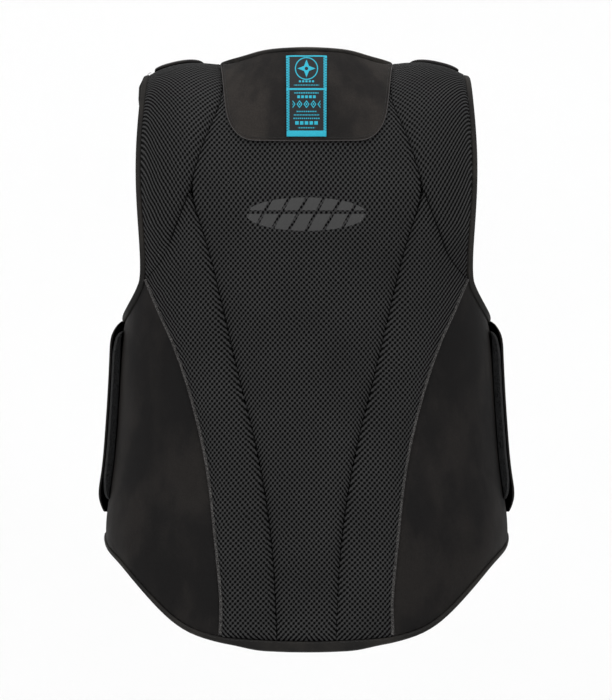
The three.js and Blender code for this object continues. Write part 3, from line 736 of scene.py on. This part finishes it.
def add_pull(piece, rims, seam_way):
    """How far the net is drawn out: near its seams, and round towards the sides."""
    points = points_of(piece.data)
    u, _ = cloth_place(points)
    seam = np.clip(1 - nearness(points, rims) / PULL_REACH, 0, 1)
    side = np.clip((np.abs(u) - SIDE_PULL_START) / SIDE_PULL_SPAN, 0, 1)
    amount = np.clip(seam * seam_way + side, -1, 1) * np.sign(u)
    layer = piece.data.attributes.new(PULL_NAME, "FLOAT", "POINT")
    layer.data.foreach_set("value", amount)


# Padding

def swell(piece, rims):
    """Blows the pad up a little by cloth simulation, with its rim and inner side held."""
    size = sizes()
    mesh = piece.data
    before = points_of(mesh)
    weights = np.clip(1 - nearness(before, rims) / HELD_REACH, 0, 1)
    weights[~faces_out(mesh)] = 1
    held = piece.vertex_groups.new(name="held")
    for index, weight in enumerate(weights):
        held.add([index], weight, "REPLACE")
    make_active(piece)
    cloth = piece.modifiers.new("Padding", "CLOTH")
    cloth.settings.use_pressure = True
    cloth.settings.uniform_pressure_force = size.pad_pressure
    cloth.settings.effector_weights.gravity = 0
    cloth.settings.vertex_group_mass = held.name
    cloth.settings.tension_stiffness = 30
    cloth.settings.compression_stiffness = 20
    cloth.settings.bending_stiffness = 2
    cloth.point_cache.frame_start = 1
    cloth.point_cache.frame_end = size.pad_frames
    for step in range(1, size.pad_frames + 1):
        bpy.context.scene.frame_set(step)
    bpy.ops.object.modifier_apply(modifier=cloth.name)
    moves = points_of(piece.data) - before
    lengths = np.maximum(np.linalg.norm(moves, axis=1, keepdims=True), 1e-9)
    capped = moves / lengths * np.minimum(lengths, size.swell_limit)
    move_points(piece.data, before + capped)
    piece.vertex_groups.clear()
    bpy.context.scene.frame_set(1)


def press_seams(piece, rims):
    """Presses the cloth down towards the seams, so that two panels meet in a soft channel."""
    mesh = piece.data
    points = points_of(mesh)
    share = np.clip(1 - nearness(points, rims) / SEAM_REACH, 0, 1)
    share[~faces_out(mesh)] = 0
    move_points(mesh, points - normals_of(mesh) * (SEAM_DEPTH * share ** 2)[:, None])


def soften(piece):
    """Adds the shallow creases and hollows of worn cloth over foam."""
    mesh = piece.data
    points = points_of(mesh)
    long = points * (26, 26, 11)
    depth = np.array([noise.noise(a) + 0.3 * noise.noise(b) for a, b in zip(long, points * 75)])
    depth[~faces_out(mesh)] = 0
    move_points(mesh, points + normals_of(mesh) * (SOFT_DEPTH * depth)[:, None])


def thicken(piece, amount):
    """Moves the whole skin out a little, to close the gap that the solids keep."""
    mesh = piece.data
    move_points(mesh, points_of(mesh) + normals_of(mesh) * amount)


def make_pad(node, material, net_way=None):
    """A padded panel from its solid: rounded, swollen, mapped and finished."""
    piece = copy_of_node(node, node + "_padded")
    crease_sharp_edges(piece)
    subdivide_smooth(piece, 2)
    rims = outer_rim(piece.data)
    rim_lines[node] = rims
    swell(piece, rims)
    subdivide_smooth(piece, 1)
    soften(piece)
    press_seams(piece, rims)
    thicken(piece, SKIN)
    shade_smooth(piece)
    add_cloth_map(piece)
    if net_way is not None:
        add_pull(piece, rims, net_way)
    piece.data.materials.append(material)
    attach(piece, "root")
    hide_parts(node)
    return piece


class VEST_OT_net_panels(bpy.types.Operator):
    """Pads the centre, strip and shoulder panels and covers them in net"""
    bl_idname = "vest.net_panels"
    bl_label = "Net panels"

    def execute(self, context):
        net = net_finish("spacer_net")
        printed = net_finish("spacer_net_printed", with_print=True)
        make_pad("back_centre_panel", printed, net_way=-0.9)
        for side in SIDES:
            make_pad("back_strip_" + side, net, net_way=0.9)
            make_pad("shoulder_panel_" + side, net, net_way=0.3)
        return {"FINISHED"}


class VEST_OT_smooth_panels(bpy.types.Operator):
    """Pads the side and front panels and covers them in smooth cloth"""
    bl_idname = "vest.smooth_panels"
    bl_label = "Smooth panels"

    def execute(self, context):
        cloth = smooth_finish("smooth_cloth", colours().smooth, cloud=0.7)
        for side in SIDES:
            make_pad("side_panel_" + side, cloth)
            make_pad("front_panel_" + side, cloth)
            make_pad("front_shoulder_" + side, cloth)
        return {"FINISHED"}


def round_edges(piece, width):
    make_active(piece)
    edge = piece.modifiers.new("Edge", "BEVEL")
    edge.limit_method = "ANGLE"
    edge.angle_limit = SHARP_ANGLE
    edge.width = width
    edge.segments = 2
    edge.use_clamp_overlap = True
    bpy.ops.object.modifier_apply(modifier=edge.name)


def make_trim(node, material, rounding=0.0005, levels=2, skin=0.0,
              crease_angle=SHARP_ANGLE):
    """A thin cloth piece from its solid, with its edges rounded."""
    piece = copy_of_node(node, node + "_cloth")
    crease_sharp_edges(piece, crease_angle)
    subdivide_smooth(piece, levels)
    round_edges(piece, rounding)
    thicken(piece, skin)
    shade_smooth(piece)
    add_cloth_map(piece)
    piece.data.materials.append(material)
    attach(piece, "root")
    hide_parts(node)
    return piece


# The tab hangs longer, narrower and leaning out more than its solid
TAB_STRETCH = 2.1
TAB_NARROW = 0.55
TAB_LEAN = 0.10
TAB_SHIFT = 0.0016


class VEST_OT_bindings(bpy.types.Operator):
    """Folds the bound edges of the hem, the neck and the arm holes"""
    bl_idname = "vest.bindings"
    bl_label = "Bindings"

    def execute(self, context):
        cloth = smooth_finish("edge_cloth", colours().edge, weave=0.7, cloud=0.7)
        for node in ("hem_binding", "armhole_binding_right", "armhole_binding_left"):
            make_trim(node, cloth, rounding=0.0008, skin=SKIN,
                      crease_angle=FOLD_ANGLE)
        # The neck binding is the edge cloth painted 2.9 times lighter: painted light on the
        # binding along the top, where it is lit from above
        lighter = shaded(colours().edge, 2.9)
        lit_neck_finish = smooth_finish("neck_cloth_painted_light", lighter, weave=0.7, cloud=0.7)
        make_trim("neck_binding", lit_neck_finish, rounding=0.0008, skin=SKIN,
                  crease_angle=FOLD_ANGLE)
        self.hang_tab(make_trim("shoulder_tab_left", cloth))
        return {"FINISHED"}

    @staticmethod
    def hang_tab(piece):
        """Lets the small tab hang down along the arm hole."""
        points = points_of(piece.data)
        low, high = points.min(axis=0), points.max(axis=0)
        middle = (low + high) / 2
        drop = (high[2] - points[:, 2]) * TAB_STRETCH
        points[:, 0] = middle[0] + (points[:, 0] - middle[0]) * TAB_NARROW - drop * TAB_LEAN
        points[:, 0] += TAB_SHIFT
        points[:, 2] = high[2] - drop
        move_points(piece.data, points)


# How near the yoke's top edge runs to the neck binding, and what is sewn along the rest
YOKE_TOP_REACH = 0.0075
PIPING = {"side": 0.0002, "lift": -0.0006, "step": 0.003, "radius": 0.0006}
YOKE_STITCHES = {"side": -0.0024, "lift": 0.0001, "gap": 0.0010, "arch": 0.00012}


def copy_of_rounded(node):
    """The node's mesh smoothed as its cloth is, for measuring its rim."""
    piece = copy_of_node(node, node + "_measure")
    crease_sharp_edges(piece)
    subdivide_smooth(piece, 2)
    mesh = piece.data
    bpy.data.objects.remove(piece)
    return mesh


class VEST_OT_yoke(bpy.types.Operator):
    """Makes the smooth yoke below the neck"""
    bl_idname = "vest.yoke"
    bl_label = "Yoke"

    def execute(self, context):
        cloth = smooth_finish("yoke_cloth", colours().yoke, weave=1.1, cloud=0.9)
        make_trim("neck_yoke", cloth, rounding=0.0007, levels=3)
        rim_lines["neck_yoke"] = outer_rim(copy_of_rounded("neck_yoke"))
        self.edge_yoke()
        return {"FINISHED"}

    @staticmethod
    def edge_yoke():
        """Piping round the yoke's sides and foot, and a stitch row inside it."""
        size = sizes()
        middle = middle_of("neck_yoke")
        line = rim_lines["neck_yoke"]
        top = shared_line("neck_yoke", node_places("neck_binding"), YOKE_TOP_REACH)
        upper = {place.freeze() for place, _ in top}
        count = len(line)
        start = next(i for i in range(count)
                     if line[i - 1][0].freeze() in upper and line[i][0].freeze() not in upper)
        open_line = [line[(start + i) % count] for i in range(count - len(upper))]
        light = thread_finish("piping", shaded(colours().yoke, 1.9))
        pipe = offset_line(open_line, PIPING["side"], PIPING["lift"], middle)
        run = [place for place, _ in evened(pipe, PIPING["step"])]
        tube_piece("yoke_piping", [run], PIPING["radius"], light, 2)
        dark = thread_finish("yoke_thread", shaded(colours().yoke, 0.8))
        sewn = YOKE_STITCHES
        row = offset_line(open_line, sewn["side"], sewn["lift"], middle)
        runs = stitch_runs(row, size.stitch_length, sewn["gap"], sewn["arch"])
        tube_piece("yoke_stitches", runs, size.thread_radius, dark, 1)


class VEST_OT_label(bpy.types.Operator):
    """Makes the woven neck label with plain generic marks"""
    bl_idname = "vest.label"
    bl_label = "Label"

    def execute(self, context):
        make_trim("neck_label", label_finish("woven_label"), rounding=0.0003)
        return {"FINISHED"}


# How much of its height over the panels below a flap loses at its very end
END_DROP = 0.8


def tree_below(node):
    """The node's faces, for finding the nearest place on it."""
    piece = copy_of_node(node, node + "_below")
    mesh = piece.data
    bpy.data.objects.remove(piece)
    return BVHTree.FromPolygons([vert.co[:] for vert in mesh.vertices],
                                [face.vertices[:] for face in mesh.polygons])


def settle_ends(piece, nodes, axis, reach, stretch=0.0):
    """Rounds both ends of a flap and draws them down to the panels below."""
    trees = [tree_below(node) for node in nodes]
    places = [vert.co[axis] for vert in piece.data.vertices]
    middle = (max(places) + min(places)) / 2
    half = (max(places) - min(places)) / 2
    for vert in piece.data.vertices:
        offset = vert.co[axis] - middle
        share = max((abs(offset) - half + reach) / reach, 0)
        if share == 0:
            continue
        found = min((tree.find_nearest(vert.co) for tree in trees), key=lambda hit: hit[3])
        foot = found[0]
        keep = 1 - END_DROP * (1 - math.sqrt(max(1 - share ** 2, 0)))
        vert.co = foot + (vert.co - foot) * keep
        vert.co[axis] += math.copysign(stretch * share ** 2, offset)


class VEST_OT_closures(bpy.types.Operator):
    """Makes the fuzzy side pads and the flaps of the sides and shoulders"""
    bl_idname = "vest.closures"
    bl_label = "Closures"

    def execute(self, context):
        pile = loop_finish("loop_pile", colours().loop)
        # The flaps and shoulder closures use the side panels' cloth painted 1.8 times lighter:
        # painted light that lifts their edges out of the shade beside them
        pale = shaded(colours().smooth, 1.8)
        cloth = smooth_finish("flap_cloth_painted_light", pale, weave=0.8, cloud=0.3)
        for side in SIDES:
            below = ("side_panel_" + side, "front_panel_" + side)
            pad = make_trim("side_loop_panel_" + side, pile, rounding=0.0016)
            settle_ends(pad, below, axis=2, reach=0.009)
            flap = make_trim("side_closure_flap_" + side, cloth,
                             rounding=0.0006)
            settle_ends(flap, below, axis=2, reach=0.013, stretch=0.003)
            crest = make_trim("shoulder_closure_" + side, cloth,
                              rounding=0.0005)
            below = ("shoulder_panel_" + side, "front_shoulder_" + side)
            settle_ends(crest, below, axis=0, reach=0.014)
        return {"FINISHED"}


class VEST_OT_zip(bpy.types.Operator):
    """Finishes the front zip and its slider"""
    bl_idname = "vest.zip"
    bl_label = "Zip"

    def execute(self, context):
        tape = smooth_finish("zip_tape", colours().edge, weave=1.2, cloud=0.2)
        metal = metal_finish("slider_metal", (0.03, 0.03, 0.032))
        make_trim("front_zip", tape, skin=ZIP_SKIN)
        make_trim("zip_slider", metal)
        return {"FINISHED"}


# Seams and stitches

# The bead: spacing of its places, passes that even it out, and offsets in its own radius
BEAD_STEP = 0.004
EASE_PASSES = 12
BEAD_INSET = 0.6
BEAD_SINK = 0.15

# How near a rim runs to a binding or a side panel, and where the rows beside it are sewn
EDGE_REACH = 0.0045
SIDE_SEAM_REACH = 0.002
EDGE_STITCHES = {"side": 0.0016, "lift": 0.0010, "gap": 0.0012, "arch": 0.00015}

# Heights of the places along one stitch, as shares of its arch
STITCH_HEIGHTS = (-0.6, 0.8, 1.0, 0.8, -0.6)


def shared_line(node, others, reach):
    """The longest stretch of a panel's rim that runs close to the other places."""
    tree = tree_of(others)
    rims = rim_lines[node]
    count = len(rims)
    close = [tree.find(place)[2] < reach for place, _ in rims]
    best = []
    for start in range(count):
        if not close[start] or close[start - 1]:
            continue
        run = []
        while len(run) < count and close[(start + len(run)) % count]:
            run.append(rims[(start + len(run)) % count])
        if len(run) > len(best):
            best = run
    return best


def rim_places(node):
    return [place for place, _ in rim_lines[node]]


def node_places(node):
    return [vert.co.copy() for vert in copy_of_rounded(node).vertices]


def offset_line(line, side, lift, body):
    """Moves a rim line across itself, away from the panel's middle, and off the cloth."""
    places = []
    for index, (place, normal) in enumerate(line):
        before = line[max(index - 1, 0)][0]
        after = line[min(index + 1, len(line) - 1)][0]
        across = (after - before).cross(normal).normalized()
        if across.dot(place - body) < 0:
            across = -across
        places.append((place + across * side + normal * lift, normal))
    return places


def middle_of(node):
    places = rim_places(node)
    return sum(places, Vector()) / len(places)


def evened(line, spacing):
    """The line again, with places at an even spacing."""
    places = [line[0]]
    left = spacing
    for (start, normal), (end, _) in zip(line, line[1:]):
        length = (end - start).length
        gone = 0.0
        while length - gone >= left:
            gone += left
            places.append((start.lerp(end, gone / length), normal))
            left = spacing
        left -= length - gone
    return places


def eased(run):
    """The run with its small kinks evened out, its ends kept."""
    for _ in range(EASE_PASSES):
        inner = [(a + b * 2 + c) / 4 for a, b, c in zip(run, run[1:], run[2:])]
        run = [run[0], *inner, run[-1]]
    return run


def tube_piece(name, runs, radius, material, sides=2):
    """Round cords through the given runs of places, as one closed mesh."""
    shape = bpy.data.curves.new(name, "CURVE")
    shape.dimensions = "3D"
    shape.bevel_depth = radius
    shape.bevel_resolution = sides
    shape.use_fill_caps = True
    for run in runs:
        spline = shape.splines.new("POLY")
        spline.points.add(len(run) - 1)
        for point, place in zip(spline.points, run):
            point.co = (*place, 1)
    piece = bpy.data.objects.new(name, shape)
    bpy.context.scene.collection.objects.link(piece)
    make_active(piece)
    bpy.ops.object.convert(target="MESH")
    bpy.ops.object.mode_set(mode="EDIT")
    bpy.ops.mesh.select_all(action="SELECT")
    bpy.ops.mesh.remove_doubles(threshold=MERGE_DISTANCE)
    bpy.ops.mesh.normals_make_consistent(inside=False)
    bpy.ops.object.mode_set(mode="OBJECT")
    shade_smooth(piece, ROUND_DEGREES)
    piece.data.materials.clear()
    piece.data.materials.append(material)
    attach(piece, "root")
    return piece


def stitch_runs(line, length, gap, arch):
    """Short arched runs for single stitches along a line."""
    steps = len(STITCH_HEIGHTS) - 1
    places = evened(line, (length + gap) / steps)
    runs = []
    for start in range(0, len(places) - steps, steps):
        run = []
        for index, height in enumerate(STITCH_HEIGHTS):
            place, normal = places[start + index]
            if index == steps:
                back = places[start + index - 1][0]
                place = place.lerp(back, gap / (length + gap) * steps * 0.5)
            run.append(place + normal * arch * height)
        runs.append(run)
    return runs


class VEST_OT_seams(bpy.types.Operator):
    """Rolls the beads of the outer seams and sews the stitch rows"""
    bl_idname = "vest.seams"
    bl_label = "Seams"

    def execute(self, context):
        size = sizes()
        bead = bead_finish("overlock_bead", colours().edge)
        thread = thread_finish("dark_thread", shaded(colours().edge, 0.9))
        for side in SIDES:
            self.sew_outer_seam(side, bead, size)
            self.sew_edge("armhole_binding_" + side, ("shoulder_panel_" + side,
                          "side_panel_" + side), thread, size)
        self.sew_edge("hem_binding", ("back_centre_panel", "back_strip_right",
                      "back_strip_left", "side_panel_right", "side_panel_left"), thread, size)
        return {"FINISHED"}

    @staticmethod
    def sew_outer_seam(side, bead, size):
        """Lays the bead along the strip's outer edge."""
        strip = "back_strip_" + side
        line = shared_line(strip, rim_places("side_panel_" + side), SIDE_SEAM_REACH)
        line = offset_line(line, -size.bead_radius * BEAD_INSET,
                           -size.bead_radius * BEAD_SINK, middle_of(strip))
        run = eased([place for place, _ in evened(line, BEAD_STEP)])
        tube_piece("outer_seam_bead_" + side, [run], size.bead_radius, bead, 3)

    @staticmethod
    def sew_edge(node, panels, thread, size):
        """Sews a stitch row along each panel beside a binding."""
        edge = node_places(node)
        sewn = EDGE_STITCHES
        runs = []
        for panel in panels:
            line = shared_line(panel, edge, EDGE_REACH)
            if len(line) < 3:
                raise ValueError(f"{panel} has no rim along {node}")
            line = offset_line(line, sewn["side"], sewn["lift"], middle_of(panel))
            runs += stitch_runs(line, size.stitch_length, sewn["gap"], sewn["arch"])
        tube_piece(node + "_stitches", runs, size.thread_radius, thread, 1)


# Stage, light and camera

FLOOR_SIZE = 12
WALL_HEIGHT = 7
BACKDROP_CURVE = 1.5
FLOOR_HEIGHT = -0.95
WORLD_LIGHT = 0.92
SENSOR_HEIGHT = 24.0
CAMERA_DISTANCE = 9.0
BACK_DEPTH = 0.08

# The real size of one pixel of the picture, which is 700 of them high
PIXEL = 0.000925
PICTURE_ROWS = 700
VIEW_HEIGHT = PICTURE_ROWS * PIXEL
VIEW_CENTRE_X = -0.5 * PIXEL

# The vest's origin, its shoulder ridge, lies on this row of the picture
ORIGIN_ROW = 62
VIEW_CENTRE_Z = (ORIGIN_ROW - PICTURE_ROWS / 2) * PIXEL

# Each lamp: name, place, power in watts and width
LAMPS = (
    ("lamp_left", (-1.9, -1.6, 1.2), 34, 1.2),
    ("lamp_right", (1.9, -1.6, 1.2), 26, 1.2),
    ("lamp_top", (0, -0.3, 2.0), 38, 1.6),
)


class VEST_OT_stage(bpy.types.Operator):
    """Sets the pale floor and backdrop, the soft lights and the camera"""
    bl_idname = "vest.stage"
    bl_label = "Stage"

    def execute(self, context):
        finish = Finish("backdrop", (0.9, 0.9, 0.9))
        grain = finish.noise(finish.place(), 3.0, 1.0)
        finish.done(finish.mix(grain, (0.93, 0.93, 0.93), (0.95, 0.95, 0.95)), 0.9)
        deselect_all()
        bpy.ops.mesh.primitive_plane_add(size=FLOOR_SIZE, location=(0, 0, FLOOR_HEIGHT))
        floor = context.object
        floor.name = "floor"
        bpy.ops.object.mode_set(mode="EDIT")
        bpy.ops.mesh.select_all(action="DESELECT")
        shape = bmesh.from_edit_mesh(floor.data)
        for edge in shape.edges:
            edge.select = all(vert.co.y > 1 for vert in edge.verts)
        bmesh.update_edit_mesh(floor.data)
        bpy.ops.mesh.extrude_region_move(TRANSFORM_OT_translate={"value": (0, 0, WALL_HEIGHT)})
        bpy.ops.mesh.select_all(action="SELECT")
        bpy.ops.mesh.normals_make_consistent(inside=False)
        bpy.ops.object.mode_set(mode="OBJECT")
        curve = floor.modifiers.new("Curve", "BEVEL")
        curve.width = BACKDROP_CURVE
        curve.segments = 24
        bpy.ops.object.modifier_apply(modifier=curve.name)
        shade_smooth(floor, ROUND_DEGREES)
        floor.data.materials.append(finish.material)
        self.light_studio(context)
        self.place_camera(context)
        return {"FINISHED"}

    @staticmethod
    def light_studio(context):
        """Lights the vest by a white sky and three soft lamps."""
        world = bpy.data.worlds.new("studio")
        context.scene.world = world
        world.use_nodes = True
        world.node_tree.nodes["Background"].inputs["Color"].default_value = (1, 1, 1, 1)
        world.node_tree.nodes["Background"].inputs["Strength"].default_value = WORLD_LIGHT
        context.scene.view_settings.view_transform = "Standard"
        for name, place, power, width in LAMPS:
            bpy.ops.object.light_add(type="AREA", location=place)
            lamp = context.object
            lamp.name = name
            lamp.data.energy = power
            lamp.data.size = width
            aim = Vector((0, 0, VIEW_CENTRE_Z)) - Vector(place)
            lamp.rotation_euler = aim.to_track_quat("-Z", "Y").to_euler()

    @staticmethod
    def place_camera(context):
        """Looks at the vest's back from far off, as the photograph does."""
        bpy.ops.object.camera_add(location=(VIEW_CENTRE_X, -CAMERA_DISTANCE, VIEW_CENTRE_Z),
                                  rotation=(math.radians(90), 0, 0))
        camera = context.object
        camera.name = "photo_camera"
        camera.data.sensor_fit = "VERTICAL"
        camera.data.sensor_height = SENSOR_HEIGHT
        near = CAMERA_DISTANCE - BACK_DEPTH
        camera.data.lens = SENSOR_HEIGHT * near / VIEW_HEIGHT
        camera.data.clip_end = 50
        context.scene.camera = camera


class VEST_PT_panel(bpy.types.Panel):
    """Lists the steps that make the vest"""
    bl_idname = "VEST_PT_panel"
    bl_label = "Padded riding vest"
    bl_space_type = "VIEW_3D"
    bl_region_type = "UI"
    bl_category = "Vest"

    def draw(self, context):
        for group in (context.scene.vest_sizes, context.scene.vest_colours):
            for name in group.__annotations__:
                self.layout.prop(group, name)
        for operator in STEPS:
            self.layout.operator(operator.bl_idname)


STEPS = (
    VEST_OT_stage, VEST_OT_net_panels, VEST_OT_smooth_panels, VEST_OT_bindings, VEST_OT_yoke,
    VEST_OT_label, VEST_OT_closures, VEST_OT_zip, VEST_OT_seams,
)
CLASSES = (VestSizes, VestColours, *STEPS, VEST_PT_panel)


def register():
    for kind in CLASSES:
        bpy.utils.register_class(kind)
    bpy.types.Scene.vest_sizes = PointerProperty(type=VestSizes)
    bpy.types.Scene.vest_colours = PointerProperty(type=VestColours)


def unregister():
    del bpy.types.Scene.vest_colours
    del bpy.types.Scene.vest_sizes
    for kind in reversed(CLASSES):
        bpy.utils.unregister_class(kind)


def main():
    register()
    bpy.ops.vest.stage()
    bpy.ops.vest.net_panels()
    bpy.ops.vest.smooth_panels()
    bpy.ops.vest.bindings()
    bpy.ops.vest.yoke()
    bpy.ops.vest.label()
    bpy.ops.vest.closures()
    bpy.ops.vest.zip()
    bpy.ops.vest.seams()


if __name__ == "__main__":
    main()
